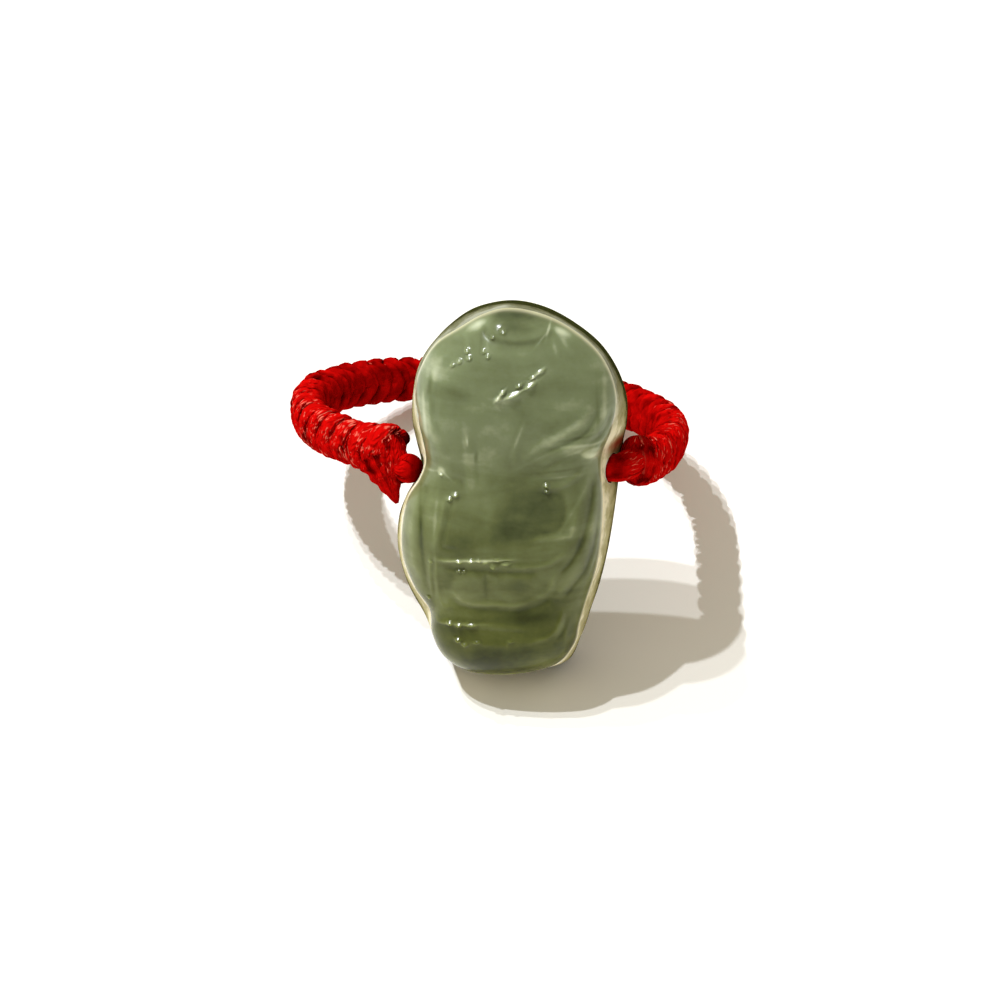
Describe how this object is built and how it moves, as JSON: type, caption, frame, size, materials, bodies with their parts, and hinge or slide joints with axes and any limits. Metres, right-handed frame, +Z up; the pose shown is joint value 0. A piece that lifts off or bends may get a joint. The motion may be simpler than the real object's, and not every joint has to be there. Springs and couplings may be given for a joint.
{
  "type": "carved jade charm finger ring with knotted cord band",
  "caption": "Carved jade guardian-beast charm on a finger ring of knotted red cord, resting tilted back on its cord loop.",
  "frame": {"origin": "centre of the bounding box's footprint, on the surface that the ring rests on", "axes": "+Z up, -Y towards the charm's carved face, which leans back towards +Y, +X to the face's right"},
  "size_m": [0.0206, 0.0246, 0.0182],
  "materials": {
    "jade": "polished, slightly translucent grey-green",
    "knotted_cord": "glossy red braided cord, knotted",
    "smooth_cord": "smooth waxed red cord"
  },
  "bodies": {
    "root": {"jade_charm": "jade", "knotted_band": "knotted_cord", "core_cord": "smooth_cord", "end_knot_left": "smooth_cord", "end_knot_right": "smooth_cord", "cut_tail": "smooth_cord"}
  },
  "joints": []
}
